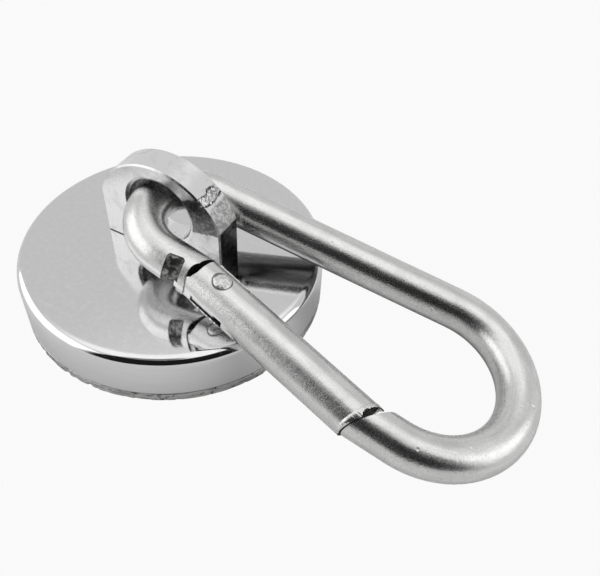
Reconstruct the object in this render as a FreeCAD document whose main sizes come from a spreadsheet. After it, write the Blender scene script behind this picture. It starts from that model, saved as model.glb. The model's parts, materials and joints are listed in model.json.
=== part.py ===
# Magnet fishing magnet: a round pot magnet, a flat eye lug screwed into its back, and a
# pear-shaped spring hook that hangs through the eye.
#
# Row frame: the origin is the centre of the magnet's working face, +Z points up through the
# eye, and the eye's flat faces look along -Y and +Y. The hook leans over the rim towards +X.
# Hook frame: the origin is the centre of the wide bend, x runs from the narrow bend to the
# wide one, y points to the back bar and z is square to the hook.
# Gate frame: the origin is the rivet's centre, x runs along the gate to its free end and y
# points into the hook's opening.
import FreeCAD, Part
import math
import os
import Sketcher
from FreeCAD import Placement, Rotation, Vector

os.makedirs("parts", exist_ok=True)
doc = FreeCAD.newDocument("fishing_magnet")

# ---------------------------------------------------------------- driving dimensions
sheet = doc.addObject("Spreadsheet::Sheet", "Sizes")
SIZES = [
    ("pot_radius", 30.0),          # outside of the steel cup
    ("pot_height", 11.2),
    ("pot_wall", 3.0),
    ("pot_back", 5.0),             # thickness of the cup's back
    ("pot_top_round", 0.8),
    ("pot_foot_chamfer", 0.3),
    ("side_groove_level", 2.1),
    ("side_groove_flare", 0.3),    # half the groove's width, one depth outside the wall
    ("side_groove_depth", 0.2),
    ("resin_gap", 2.0),            # between the magnet and the cup's wall
    ("core_radius", 6.0),          # hole in the magnet ring
    ("stud_radius", 4.0),          # M8, at its nominal size
    ("lug_half_width", 13.45),
    ("lug_thickness", 6.0),
    ("lug_top_radius", 14.3),
    ("lug_top_centre", 5.7),       # above the cup's back
    ("eye_radius", 6.85),
    ("eye_level", 10.2),           # above the cup's back
    ("eye_chamfer", 0.45),
    ("lug_edge_chamfer", 0.3),
    ("wire_radius", 3.9),
    ("wide_bend_radius", 16.1),    # to the wire's centreline
    ("narrow_bend_radius", 9.2),
    ("bend_spacing", 50.5),
    ("nose_reach", 8.4),           # straight nose past the wide bend's centre
    ("nose_face_angle", 40.0),
    ("shoulder_half_width", 4.15),
    ("shoulder_half_height", 4.0),
    ("shoulder_reach", 8.3),       # from the narrow bend to the tips of the shoulder
    ("shoulder_offset", 0.35),
    ("shoulder_hollow_radius", 5.2),
    ("notch_x", 2.9),              # a round notch that deepens the hollow's outer half
    ("notch_y", 1.85),
    ("notch_radius", 2.75),
    ("lip_seat_x", 5.45),          # the flank that the gate's lip lies against
    ("lip_seat_y", 3.1),
    ("lip_seat_back_x", 4.53),
    ("lip_seat_back_y", 4.335),
    ("press_mark_x", -47.9),       # centre of the shallow recess pressed into the shoulder
    ("press_mark_y", -9.15),
    ("press_mark_lean", 12.0),
    ("press_mark_width", 3.3),
    ("press_mark_radius", 3.6),
    ("press_mark_sweep", 138.0),
    ("press_mark_corner", 0.7),
    ("pivot_x", -38.5),
    ("pivot_y", -10.3),
    ("gate_angle", 11.2),          # the gate's slope against the hook's length
    ("gate_radius", 4.05),
    ("gate_heel", 4.18),           # from the rivet to the gate's flat end
    ("gate_heel_radius", 5.1),
    ("heel_flat_end", 1.75),       # where the flat end turns back into the outer lip
    ("lip_root_x", 4.6),
    ("lip_root_y", 2.9),
    ("lip_tip_x", 5.26),
    ("lip_tip_y", 3.2),
    ("lip_back_x", 4.45),
    ("lip_back_y", 4.26),
    ("gate_reach", 32.1),          # from the rivet to the middle of the free end's face
    ("gate_face_angle", 15.0),
    ("slot_width", 1.6),
    ("slot_level", -0.5),          # the slot and the tongue lie a little below the gate's middle
    ("slot_reach", 4.5),
    ("tongue_thickness", 1.4),
    ("tongue_radius", 4.2),
    ("tongue_flat", 2.9),          # from the rivet to the flat that the plunger bears on
    ("tongue_outer_edge", 3.6),
    ("tongue_flush_edge", 3.95),   # level with the gate's side, next to the shoulder
    ("tongue_root", 7.0),          # how far back it runs into the shoulder
    ("tongue_root_edge", 3.4),
    ("rivet_radius", 1.5),
    ("rivet_play", 0.06),
    ("rivet_head_radius", 1.65),
    ("rivet_head_seat", 3.6),
    ("rivet_head_top", 4.4),
    ("rivet_rim_drop", 0.4),       # from the head's top down to its rim
    ("rivet_crown_radius", 1.15),
    ("rivet_crown_drop", 0.1),
    ("bore_radius", 1.6),
    ("bore_end", 20.0),
    ("plunger_radius", 1.5),
    ("plunger_tip", 3.0),          # from the rivet, with the gate shut
    ("plunger_length", 5.0),
    ("plunger_chamfer", 0.2),
    ("spring_radius", 1.15),       # to the spring wire's centreline
    ("spring_wire_radius", 0.25),
    ("spring_turns", 9.0),
    ("spring_end_gap", 0.025),
    ("hook_x", 56.6),              # the hook's place in the row frame
    ("hook_y", -2.0),
    ("hook_z", 8.9),
    ("hook_tilt", 13.5),           # the wide end lies lower than the narrow one
]
for row, (alias, value) in enumerate(SIZES, start=1):
    sheet.set(f"A{row}", alias)
    sheet.set(f"B{row}", str(value))
    sheet.setAlias(f"B{row}", alias)
doc.recompute()
size = {alias: float(sheet.get(alias)) for alias, _ in SIZES}

PARTS = []


def new_body(label):
    """A part design body that will be written as its own node."""
    body = doc.addObject("PartDesign::Body", label)
    body.Label = label
    PARTS.append(body)
    return body


def plane(body, role):
    """One of the body's own origin planes."""
    return next(feature for feature in body.Origin.OriginFeatures if feature.Role == role)


def new_sketch(body, name, role, offset=None):
    sketch = body.newObject("Sketcher::SketchObject", name)
    sketch.AttachmentSupport = (plane(body, role), [""])
    sketch.MapMode = "FlatFace"
    if offset is not None:
        sketch.AttachmentOffset = offset
    return sketch


def bind(thing, prop, expression):
    thing.setExpression(prop, expression)


def bind_constraint(sketch, constraint, name, expression):
    """Adds a driving constraint and ties its value to the sheet."""
    index = sketch.addConstraint(constraint)
    sketch.renameConstraint(index, name)
    sketch.setExpression(f"Constraints.{name}", expression)


def add_circle(sketch, x, y, radius, x_cell=None, y_cell=None, radius_cell=None, tag=""):
    """A circle whose radius and centre follow the sheet."""
    index = sketch.addGeometry(Part.Circle(Vector(x, y, 0), Vector(0, 0, 1), radius))
    bind_constraint(sketch, Sketcher.Constraint("Radius", index, radius), f"Radius{tag}", radius_cell)
    if x_cell is None:
        sketch.addConstraint(Sketcher.Constraint("PointOnObject", index, 3, -2))
    else:
        bind_constraint(sketch, Sketcher.Constraint("DistanceX", -1, 1, index, 3, x), f"AtX{tag}", x_cell)
    if y_cell is None:
        sketch.addConstraint(Sketcher.Constraint("PointOnObject", index, 3, -1))
    else:
        bind_constraint(sketch, Sketcher.Constraint("DistanceY", -1, 1, index, 3, y), f"AtY{tag}", y_cell)
    return index


def add_oval(sketch, x, half_width, half_height, x_cell, width_cell, height_cell):
    """An ellipse on the sketch's X axis, wider than it is high, whose sizes follow the sheet."""
    wide_end = Vector(x + half_width, 0, 0)
    high_end = Vector(x, half_height, 0)
    index = sketch.addGeometry(Part.Ellipse(wide_end, high_end, Vector(x, 0, 0)))
    sketch.exposeInternalGeometry(index)
    wide_line, high_line = index + 1, index + 2
    sketch.addConstraint(Sketcher.Constraint("PointOnObject", index, 3, -1))
    sketch.addConstraint(Sketcher.Constraint("Horizontal", wide_line))
    bind_constraint(sketch, Sketcher.Constraint("DistanceX", -1, 1, index, 3, x), "AtX", x_cell)
    bind_constraint(sketch, Sketcher.Constraint("Distance", wide_line, 2 * half_width),
                    "Width", f"2 * {width_cell}")
    bind_constraint(sketch, Sketcher.Constraint("Distance", high_line, 2 * half_height),
                    "Height", f"2 * {height_cell}")


def add_outline(sketch, corners, cells):
    """A closed outline of straight lines. Each corner's coordinates follow the sheet."""
    count = len(corners)
    first = sketch.GeometryCount
    for index in range(count):
        start = Vector(*corners[index], 0)
        end = Vector(*corners[(index + 1) % count], 0)
        sketch.addGeometry(Part.LineSegment(start, end))
    for index in range(count):
        following = first + (index + 1) % count
        sketch.addConstraint(Sketcher.Constraint("Coincident", first + index, 2, following, 1))
    for index, (x_cell, y_cell) in enumerate(cells):
        line = first + index
        x, y = corners[index]
        bind_constraint(sketch, Sketcher.Constraint("DistanceX", -1, 1, line, 1, x), f"X{line}", x_cell)
        bind_constraint(sketch, Sketcher.Constraint("DistanceY", -1, 1, line, 1, y), f"Y{line}", y_cell)


def pad(body, sketch, name, length_cell, midplane=False, reverse=False):
    feature = body.newObject("PartDesign::Pad", name)
    feature.Profile = sketch
    feature.Midplane = midplane
    feature.Reversed = reverse
    bind(feature, "Length", length_cell)
    doc.recompute()
    return feature


def cut_through(body, sketch, name):
    """A pocket through everything on both sides of its sketch, which must remove metal."""
    before = body.Shape.Volume
    feature = body.newObject("PartDesign::Pocket", name)
    feature.Profile = sketch
    feature.Type = "ThroughAll"
    feature.Midplane = True
    doc.recompute()
    if body.Shape.Volume >= before:
        raise RuntimeError(f"{name} removed nothing")
    return feature


def cut_to(body, sketch, name, length_cell, reverse):
    """A pocket of a set depth, which must remove metal."""
    before = body.Shape.Volume
    feature = body.newObject("PartDesign::Pocket", name)
    feature.Profile = sketch
    feature.Reversed = reverse
    bind(feature, "Length", length_cell)
    doc.recompute()
    if body.Shape.Volume >= before:
        raise RuntimeError(f"{name} removed nothing")
    return feature


def cut_round(body, sketch, name, axis, sweep):
    """A turned groove, centred on its sketch, which must remove metal."""
    before = body.Shape.Volume
    feature = body.newObject("PartDesign::Groove", name)
    feature.Profile = sketch
    feature.ReferenceAxis = (sketch, [axis])
    feature.Midplane = True
    bind(feature, "Angle", sweep)
    doc.recompute()
    if body.Shape.Volume >= before:
        raise RuntimeError(f"{name} removed nothing")
    return feature


def revolve(body, sketch, name, axis):
    feature = body.newObject("PartDesign::Revolution", name)
    feature.Profile = sketch
    feature.ReferenceAxis = (sketch, [axis])
    feature.Angle = 360.0
    doc.recompute()
    return feature


def ring(label, inner, outer, bottom, top):
    """A turned ring about Z. The arguments are cells or sums of cells."""
    body = new_body(label)
    section = new_sketch(body, f"{label}_section", "XZ_Plane")
    corners = [(1.0, 0.0), (2.0, 0.0), (2.0, 1.0), (1.0, 1.0)]
    cells = [(inner, bottom), (outer, bottom), (outer, top), (inner, top)]
    add_outline(section, corners, cells)
    revolve(body, section, f"{label}_turned", "V_Axis")
    return body


# ---------------------------------------------------------------- pot magnet
# The steel cup: a flat back with a wall round it, open at the working face.
pot_cup = new_body("pot_cup")
cup_section = new_sketch(pot_cup, "cup_section", "XZ_Plane")
ceiling = "Sizes.pot_height - Sizes.pot_back"
hollow = "Sizes.pot_radius - Sizes.pot_wall"
add_outline(
    cup_section,
    [(4.0, 6.2), (27.0, 6.2), (27.0, 0.0), (30.0, 0.0), (30.0, 11.2), (4.0, 11.2)],
    [
        ("Sizes.stud_radius", ceiling),
        (hollow, ceiling),
        (hollow, "0"),
        ("Sizes.pot_radius", "0"),
        ("Sizes.pot_radius", "Sizes.pot_height"),
        ("Sizes.stud_radius", "Sizes.pot_height"),
    ],
)
revolve(pot_cup, cup_section, "cup_turned", "V_Axis")


def edges_at(shape, level, radius):
    """Names of the circular edges of a given radius at a given height."""
    names = []
    for index, edge in enumerate(shape.Edges, start=1):
        curve = edge.Curve
        if not isinstance(curve, Part.Circle):
            continue
        if abs(curve.Radius - radius) < 1e-4 and abs(curve.Center.z - level) < 1e-4:
            names.append(f"Edge{index}")
    return names


def dress(body, kind, name, edges, prop, expression):
    """A fillet or chamfer on the named edges of the body as it stands."""
    base = body.Tip
    feature = body.newObject(kind, name)
    feature.Base = (base, edges)
    bind(feature, prop, expression)
    doc.recompute()
    return feature


top_edge = edges_at(pot_cup.Shape, size["pot_height"], size["pot_radius"])
dress(pot_cup, "PartDesign::Fillet", "cup_top_round", top_edge, "Radius", "Sizes.pot_top_round")
foot_edge = edges_at(pot_cup.Shape, 0.0, size["pot_radius"])
dress(pot_cup, "PartDesign::Chamfer", "cup_foot_chamfer", foot_edge, "Size", "Sizes.pot_foot_chamfer")

# A fine turned line runs round the wall a little above the working face.
groove_section = new_sketch(pot_cup, "side_groove_section", "XZ_Plane")
groove_floor = "Sizes.pot_radius - Sizes.side_groove_depth"
groove_mouth = "Sizes.pot_radius + Sizes.side_groove_depth"
add_outline(
    groove_section,
    [(29.8, 2.1), (30.2, 1.8), (30.2, 2.4)],
    [
        (groove_floor, "Sizes.side_groove_level"),
        (groove_mouth, "Sizes.side_groove_level - Sizes.side_groove_flare"),
        (groove_mouth, "Sizes.side_groove_level + Sizes.side_groove_flare"),
    ],
)
cut_round(pot_cup, groove_section, "side_groove", "V_Axis", "360")

# The ring magnet fills the cup. Resin seals the gap round it and the hole in its middle.
magnet_edge = hollow + " - Sizes.resin_gap"
ring("magnet_ring", "Sizes.core_radius", magnet_edge, "0", ceiling)
ring("rim_resin", magnet_edge, hollow, "0", ceiling)
core_resin = new_body("core_resin")
core_circle = new_sketch(core_resin, "core_circle", "XY_Plane")
add_circle(core_circle, 0.0, 0.0, 6.0, radius_cell="Sizes.core_radius")
pad(core_resin, core_circle, "core_fill", ceiling)

# ---------------------------------------------------------------- eye lug
# A flat plate with a round top, made in one piece with the stud that screws into the cup.
eye_lug = new_body("eye_lug")
lug_outline = new_sketch(eye_lug, "lug_outline", "XZ_Plane")
half = size["lug_half_width"]
top_radius = size["lug_top_radius"]
top_centre = size["lug_top_centre"]
shoulder_level = top_centre + math.sqrt(top_radius ** 2 - half ** 2)
start_angle = math.atan2(shoulder_level - top_centre, half)
base_left, base_right = Vector(-half, 0, 0), Vector(half, 0, 0)
flat_left, flat_right = Vector(-half, shoulder_level, 0), Vector(half, shoulder_level, 0)
top_circle = Part.Circle(Vector(0, top_centre, 0), Vector(0, 0, 1), top_radius)
base_line = lug_outline.addGeometry(Part.LineSegment(base_left, base_right))
right_flat = lug_outline.addGeometry(Part.LineSegment(base_right, flat_right))
top_arc = lug_outline.addGeometry(Part.ArcOfCircle(top_circle, start_angle, math.pi - start_angle))
left_flat = lug_outline.addGeometry(Part.LineSegment(flat_left, base_left))
for rule in (
    Sketcher.Constraint("Coincident", base_line, 2, right_flat, 1),
    Sketcher.Constraint("Coincident", right_flat, 2, top_arc, 1),
    Sketcher.Constraint("Coincident", top_arc, 2, left_flat, 1),
    Sketcher.Constraint("Coincident", left_flat, 2, base_line, 1),
    Sketcher.Constraint("PointOnObject", base_line, 1, -1),
    Sketcher.Constraint("Horizontal", base_line),
    Sketcher.Constraint("Vertical", right_flat),
    Sketcher.Constraint("Vertical", left_flat),
    Sketcher.Constraint("PointOnObject", top_arc, 3, -2),
):
    lug_outline.addConstraint(rule)
bind_constraint(lug_outline, Sketcher.Constraint("DistanceX", -1, 1, base_line, 2, half),
                "HalfWidth", "Sizes.lug_half_width")
bind_constraint(lug_outline, Sketcher.Constraint("Radius", top_arc, top_radius),
                "TopRadius", "Sizes.lug_top_radius")
bind_constraint(lug_outline, Sketcher.Constraint("DistanceY", -1, 1, top_arc, 3, top_centre),
                "TopCentre", "Sizes.lug_top_centre")
pad(eye_lug, lug_outline, "lug_plate", "Sizes.lug_thickness", midplane=True)
eye_circle = new_sketch(eye_lug, "eye_circle", "XZ_Plane")
add_circle(eye_circle, 0.0, 10.2, 6.85, y_cell="Sizes.eye_level", radius_cell="Sizes.eye_radius")
cut_through(eye_lug, eye_circle, "eye_hole")


def plate_edges(shape, eye):
    """Edges on the plate's two flat faces: the hole's rims, or the outline above the base."""
    names = []
    for index, edge in enumerate(shape.Edges, start=1):
        box = edge.BoundBox
        on_face = abs(abs(box.YMin) - size["lug_thickness"] / 2) < 1e-4 and box.YLength < 1e-4
        is_circle = isinstance(edge.Curve, Part.Circle)
        round_hole = is_circle and abs(edge.Curve.Radius - size["eye_radius"]) < 1e-4
        on_base = box.ZMax < 1e-4
        if on_face and not on_base and round_hole == eye:
            names.append(f"Edge{index}")
    return names


eye_rims = plate_edges(eye_lug.Shape, eye=True)
dress(eye_lug, "PartDesign::Chamfer", "eye_bevel", eye_rims, "Size", "Sizes.eye_chamfer")
outline_edges = plate_edges(eye_lug.Shape, eye=False)
dress(eye_lug, "PartDesign::Chamfer", "lug_edge_bevel", outline_edges, "Size", "Sizes.lug_edge_chamfer")
stud_circle = new_sketch(eye_lug, "stud_circle", "XY_Plane")
add_circle(stud_circle, 0.0, 0.0, 4.0, radius_cell="Sizes.stud_radius")
pad(eye_lug, stud_circle, "stud", "Sizes.pot_back", reverse=True)
eye_lug.Placement = Placement(Vector(0, 0, size["pot_height"]), Rotation())

# ---------------------------------------------------------------- places of the hook's pieces
hook_place = Placement(
    Vector(size["hook_x"], size["hook_y"], size["hook_z"]),
    Rotation(Vector(0, 1, 0), size["hook_tilt"]),
)
gate_in_hook = Placement(
    Vector(size["pivot_x"], size["pivot_y"], 0),
    Rotation(Vector(0, 0, 1), -size["gate_angle"]),
)
gate_place = hook_place.multiply(gate_in_hook)

# ---------------------------------------------------------------- hook frame
# One bent wire: nose, wide bend, back bar, narrow bend, shoulder, and the flat tongue that
# the gate turns on.
hook_frame = new_body("hook_frame")
wide = size["wide_bend_radius"]
narrow = size["narrow_bend_radius"]
spacing = size["bend_spacing"]
wire = size["wire_radius"]
taper = math.asin((wide - narrow) / spacing)
bar_normal = Vector(-math.sin(taper), math.cos(taper), 0)
narrow_centre = Vector(-spacing, 0, 0)
bar_wide_end = bar_normal * wide
bar_narrow_end = narrow_centre + bar_normal * narrow

spine = new_sketch(hook_frame, "hook_spine", "XY_Plane")
wide_circle = Part.Circle(Vector(0, 0, 0), Vector(0, 0, 1), wide)
narrow_circle = Part.Circle(narrow_centre, Vector(0, 0, 1), narrow)
bar_angle = math.pi / 2 + taper
wide_arc = spine.addGeometry(Part.ArcOfCircle(wide_circle, -math.pi / 2, bar_angle))
back_bar = spine.addGeometry(Part.LineSegment(bar_wide_end, bar_narrow_end))
narrow_arc = spine.addGeometry(Part.ArcOfCircle(narrow_circle, bar_angle, 3 * math.pi / 2))
for rule in (
    Sketcher.Constraint("Coincident", wide_arc, 3, -1, 1),
    Sketcher.Constraint("Tangent", wide_arc, 2, back_bar, 1),
    Sketcher.Constraint("Tangent", back_bar, 2, narrow_arc, 1),
    Sketcher.Constraint("PointOnObject", wide_arc, 1, -2),
    Sketcher.Constraint("PointOnObject", narrow_arc, 3, -1),
    Sketcher.Constraint("Vertical", narrow_arc, 3, narrow_arc, 2),
):
    spine.addConstraint(rule)
bind_constraint(spine, Sketcher.Constraint("Radius", wide_arc, wide),
                "Wide", "Sizes.wide_bend_radius")
bind_constraint(spine, Sketcher.Constraint("Radius", narrow_arc, narrow),
                "Narrow", "Sizes.narrow_bend_radius")
bind_constraint(spine, Sketcher.Constraint("DistanceX", narrow_arc, 3, wide_arc, 3, spacing),
                "Spacing", "Sizes.bend_spacing")

wire_section = new_sketch(hook_frame, "wire_section", "YZ_Plane")
add_circle(wire_section, -wide, 0.0, wire, x_cell="-Sizes.wide_bend_radius",
           radius_cell="Sizes.wire_radius")
bent_wire = hook_frame.newObject("PartDesign::AdditivePipe", "bent_wire")
bent_wire.Profile = wire_section
bent_wire.Spine = (spine, [])
doc.recompute()

nose_section = new_sketch(hook_frame, "nose_section", "YZ_Plane")
add_circle(nose_section, -wide, 0.0, wire, x_cell="-Sizes.wide_bend_radius",
           radius_cell="Sizes.wire_radius")
pad(hook_frame, nose_section, "nose", "Sizes.nose_reach", reverse=True)

# The nose ends in a slanted face, which stops the gate from swinging outwards.
nose_cut = new_sketch(hook_frame, "nose_cut", "XY_Plane")
nose_tip = "-Sizes.nose_reach"
nose_outer = "-Sizes.wide_bend_radius - Sizes.wire_radius"
nose_inner = "-Sizes.wide_bend_radius + 2 * Sizes.wire_radius"
nose_run = "3 * Sizes.wire_radius * tan(Sizes.nose_face_angle * 1 deg)"
add_outline(
    nose_cut,
    [(-8.4, -20.0), (1.4, -8.3), (-12.0, -8.3), (-12.0, -20.0)],
    [
        (nose_tip, nose_outer),
        (f"{nose_tip} + {nose_run}", nose_inner),
        (f"{nose_tip} - Sizes.wire_radius", nose_inner),
        (f"{nose_tip} - Sizes.wire_radius", nose_outer),
    ],
)
cut_through(hook_frame, nose_cut, "nose_face")

# The shoulder widens from the round wire to an oval, and is hollowed round the gate's heel.
shoulder_start = new_sketch(
    hook_frame, "shoulder_start", "YZ_Plane", Placement(Vector(0, 0, -spacing), Rotation()))
bind(shoulder_start, "AttachmentOffset.Base.z", "-Sizes.bend_spacing")
add_circle(shoulder_start, -narrow, 0.0, wire, x_cell="-Sizes.narrow_bend_radius",
           radius_cell="Sizes.wire_radius")
shoulder_end = new_sketch(
    hook_frame, "shoulder_end", "YZ_Plane",
    Placement(Vector(0, 0, size["shoulder_reach"] - spacing), Rotation()))
bind(shoulder_end, "AttachmentOffset.Base.z", "Sizes.shoulder_reach - Sizes.bend_spacing")
add_oval(
    shoulder_end, -narrow - size["shoulder_offset"],
    size["shoulder_half_width"], size["shoulder_half_height"],
    "-Sizes.narrow_bend_radius - Sizes.shoulder_offset",
    "Sizes.shoulder_half_width", "Sizes.shoulder_half_height",
)
shoulder = hook_frame.newObject("PartDesign::AdditiveLoft", "shoulder")
shoulder.Profile = shoulder_start
shoulder.Sections = [(shoulder_end, [""])]
doc.recompute()

# A shallow recess is pressed into the outer half of the shoulder.
mark_frame = Placement(
    Vector(size["press_mark_x"], size["press_mark_y"], 0),
    Rotation(Vector(0, 0, 1), size["press_mark_lean"]),
)
mark_section = new_sketch(hook_frame, "press_mark_section", "XY_Plane", mark_frame)
mark_half = "Sizes.press_mark_width / 2"
mark_outside = "-2 * Sizes.press_mark_radius"
add_outline(
    mark_section,
    [(-1.65, -7.2), (1.65, -7.2), (1.65, -3.6), (-1.65, -3.6)],
    [
        ("-" + mark_half, mark_outside),
        (mark_half, mark_outside),
        (mark_half, "-Sizes.press_mark_radius"),
        ("-" + mark_half, "-Sizes.press_mark_radius"),
    ],
)
cut_round(hook_frame, mark_section, "press_mark", "H_Axis", "Sizes.press_mark_sweep")


def mark_corners(shape):
    """Names of the short edges at the recess's four corners."""
    to_mark = mark_frame.inverse()
    names = []
    for index, edge in enumerate(shape.Edges, start=1):
        ends = [to_mark.multVec(vertex.Point) for vertex in edge.Vertexes]
        on_sides = all(abs(abs(end.x) - size["press_mark_width"] / 2) < 1e-3 for end in ends)
        turns = [math.degrees(math.atan2(end.z, -end.y)) for end in ends]
        at_end = all(abs(abs(turn) - size["press_mark_sweep"] / 2) < 0.05 for turn in turns)
        if on_sides and at_end and abs(ends[0].x - ends[-1].x) < 1e-3 and abs(turns[0] - turns[-1]) < 1.0:
            names.append(f"Edge{index}")
    return names


corners = mark_corners(hook_frame.Shape)
dress(hook_frame, "PartDesign::Fillet", "press_mark_corners", corners, "Radius", "Sizes.press_mark_corner")

heel_hollow = new_sketch(hook_frame, "heel_hollow_circle", "XY_Plane", gate_in_hook)
add_circle(heel_hollow, 0.0, 0.0, 5.2, radius_cell="Sizes.shoulder_hollow_radius")
cut_through(hook_frame, heel_hollow, "heel_hollow")
heel_notch = new_sketch(hook_frame, "heel_notch_circle", "XY_Plane", gate_in_hook)
add_circle(heel_notch, -2.9, -1.85, 2.75, x_cell="-Sizes.notch_x", y_cell="-Sizes.notch_y",
           radius_cell="Sizes.notch_radius")
cut_through(hook_frame, heel_notch, "heel_notch")
lip_seat = new_sketch(hook_frame, "lip_seat_outline", "XY_Plane", gate_in_hook)
seat_out = "-2 * Sizes.gate_radius"
add_outline(
    lip_seat,
    [(0.0, -3.1), (-5.45, -3.1), (-4.53, -4.335), (-4.53, -8.1), (0.0, -8.1)],
    [
        ("0", "-Sizes.lip_seat_y"),
        ("-Sizes.lip_seat_x", "-Sizes.lip_seat_y"),
        ("-Sizes.lip_seat_back_x", "-Sizes.lip_seat_back_y"),
        ("-Sizes.lip_seat_back_x", seat_out),
        ("0", seat_out),
    ],
)
cut_through(hook_frame, lip_seat, "lip_seat")

# The tongue: a flat plate, round about the rivet, with one flat end for the plunger to press on.
tongue_place = Placement(
    Vector(size["pivot_x"], size["pivot_y"], size["slot_level"]), gate_in_hook.Rotation)
tongue_neck = new_sketch(hook_frame, "tongue_neck_outline", "XY_Plane", tongue_place)
add_outline(
    tongue_neck,
    [(-7.0, -3.95), (0.0, -3.95), (0.0, 4.2), (-7.0, 3.4)],
    [
        ("-Sizes.tongue_root", "-Sizes.tongue_flush_edge"),
        ("0", "-Sizes.tongue_flush_edge"),
        ("0", "Sizes.tongue_radius"),
        ("-Sizes.tongue_root", "Sizes.tongue_root_edge"),
    ],
)
pad(hook_frame, tongue_neck, "tongue_neck", "Sizes.tongue_thickness", midplane=True)
tongue_disc = new_sketch(hook_frame, "tongue_disc_circle", "XY_Plane", tongue_place)
add_circle(tongue_disc, 0.0, 0.0, 4.2, radius_cell="Sizes.tongue_radius")
pad(hook_frame, tongue_disc, "tongue_disc", "Sizes.tongue_thickness", midplane=True)
tongue_trim = new_sketch(hook_frame, "tongue_trim_outline", "XY_Plane", gate_in_hook)
trim_out = "1.02 * Sizes.tongue_radius"
add_outline(
    tongue_trim,
    [(-3.0, -3.6), (-3.0, -4.3), (4.3, -4.3), (4.3, 4.3), (2.9, 4.3), (2.9, -3.6)],
    [
        ("-Sizes.tongue_flat - Sizes.rivet_play", "-Sizes.tongue_outer_edge"),
        ("-Sizes.tongue_flat - Sizes.rivet_play", f"-({trim_out})"),
        (trim_out, f"-({trim_out})"),
        (trim_out, trim_out),
        ("Sizes.tongue_flat", trim_out),
        ("Sizes.tongue_flat", "-Sizes.tongue_outer_edge"),
    ],
)
cut_through(hook_frame, tongue_trim, "tongue_flats")
tongue_hole = new_sketch(hook_frame, "tongue_hole_circle", "XY_Plane", gate_in_hook)
add_circle(tongue_hole, 0.0, 0.0, 1.56, radius_cell="Sizes.rivet_radius + Sizes.rivet_play")
cut_through(hook_frame, tongue_hole, "tongue_hole")
hook_frame.Placement = hook_place

# ---------------------------------------------------------------- gate
# A round bar, forked over the tongue at the rivet end and bored for the spring and plunger.
gate = new_body("gate")
blank_end = "1.1 * Sizes.lip_tip_x"
gate_section = new_sketch(
    gate, "gate_section", "YZ_Plane", Placement(Vector(0, 0, -1.1 * size["lip_tip_x"]), Rotation()))
bind(gate_section, "AttachmentOffset.Base.z", f"-({blank_end})")
add_circle(gate_section, 0.0, 0.0, 4.05, radius_cell="Sizes.gate_radius")
gate_face_rise = "2 * Sizes.gate_radius * tan(Sizes.gate_face_angle * 1 deg)"
pad(gate, gate_section, "gate_bar", f"{blank_end} + Sizes.gate_reach + {gate_face_rise}")

# The free end is cut at a slant, so that it rests behind the nose.
end_cut = new_sketch(gate, "end_cut", "XY_Plane")
end_side = "2 * Sizes.gate_radius"
end_past = f"Sizes.gate_reach + 2 * {gate_face_rise}"
add_outline(
    end_cut,
    [(29.9, -8.1), (40.0, -8.1), (40.0, 8.1), (34.3, 8.1)],
    [
        (f"Sizes.gate_reach - {gate_face_rise}", f"-{end_side}"),
        (end_past, f"-{end_side}"),
        (end_past, end_side),
        (f"Sizes.gate_reach + {gate_face_rise}", end_side),
    ],
)
cut_through(gate, end_cut, "end_face")

# The heel is flat, with a lip on its outer side that closes against the shoulder.
heel_cut = new_sketch(gate, "heel_outline", "XY_Plane")
heel_side = "2 * Sizes.gate_radius"
add_outline(
    heel_cut,
    [(-4.18, 8.1), (-8.1, 8.1), (-8.1, -8.1), (-4.45, -8.1),
     (-4.45, -4.26), (-5.26, -3.2), (-4.6, -2.9), (-4.18, -1.75)],
    [
        ("-Sizes.gate_heel", heel_side),
        (f"-({heel_side})", heel_side),
        (f"-({heel_side})", f"-({heel_side})"),
        ("-Sizes.lip_back_x", f"-({heel_side})"),
        ("-Sizes.lip_back_x", "-Sizes.lip_back_y"),
        ("-Sizes.lip_tip_x", "-Sizes.lip_tip_y"),
        ("-Sizes.lip_root_x", "-Sizes.lip_root_y"),
        ("-Sizes.gate_heel", "-Sizes.heel_flat_end"),
    ],
)
cut_through(gate, heel_cut, "heel_face")

# The heel's inner corner is rounded about the rivet, so that it turns inside the hollow.
heel_round = new_sketch(gate, "heel_round_outline", "XY_Plane")
heel_r = size["gate_heel_radius"]
round_start = -size["gate_heel"] / 2
round_side = math.sqrt(heel_r ** 2 - round_start ** 2)
round_out = 2 * size["gate_radius"]
round_points = [
    Vector(round_start, round_side, 0),
    Vector(round_start, round_out, 0),
    Vector(-round_out, round_out, 0),
    Vector(-round_out, 0, 0),
    Vector(-heel_r, 0, 0),
]
for start, end in zip(round_points, round_points[1:]):
    heel_round.addGeometry(Part.LineSegment(start, end))
heel_circle = Part.Circle(Vector(0, 0, 0), Vector(0, 0, 1), heel_r)
heel_arc = heel_round.addGeometry(
    Part.ArcOfCircle(heel_circle, math.atan2(round_side, round_start), math.pi))
upper, top, back, bottom = range(heel_arc)
for rule in (
    Sketcher.Constraint("Coincident", upper, 2, top, 1),
    Sketcher.Constraint("Coincident", top, 2, back, 1),
    Sketcher.Constraint("Coincident", back, 2, bottom, 1),
    Sketcher.Constraint("Coincident", bottom, 2, heel_arc, 2),
    Sketcher.Constraint("Coincident", heel_arc, 1, upper, 1),
    Sketcher.Constraint("Coincident", heel_arc, 3, -1, 1),
    Sketcher.Constraint("Vertical", upper),
    Sketcher.Constraint("Horizontal", top),
    Sketcher.Constraint("Vertical", back),
    Sketcher.Constraint("PointOnObject", back, 2, -1),
    Sketcher.Constraint("PointOnObject", bottom, 2, -1),
):
    heel_round.addConstraint(rule)
bind_constraint(heel_round, Sketcher.Constraint("Radius", heel_arc, heel_r),
                "HeelRadius", "Sizes.gate_heel_radius")
bind_constraint(heel_round, Sketcher.Constraint("DistanceX", -1, 1, upper, 1, round_start),
                "UpperX", "-Sizes.gate_heel / 2")
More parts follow.
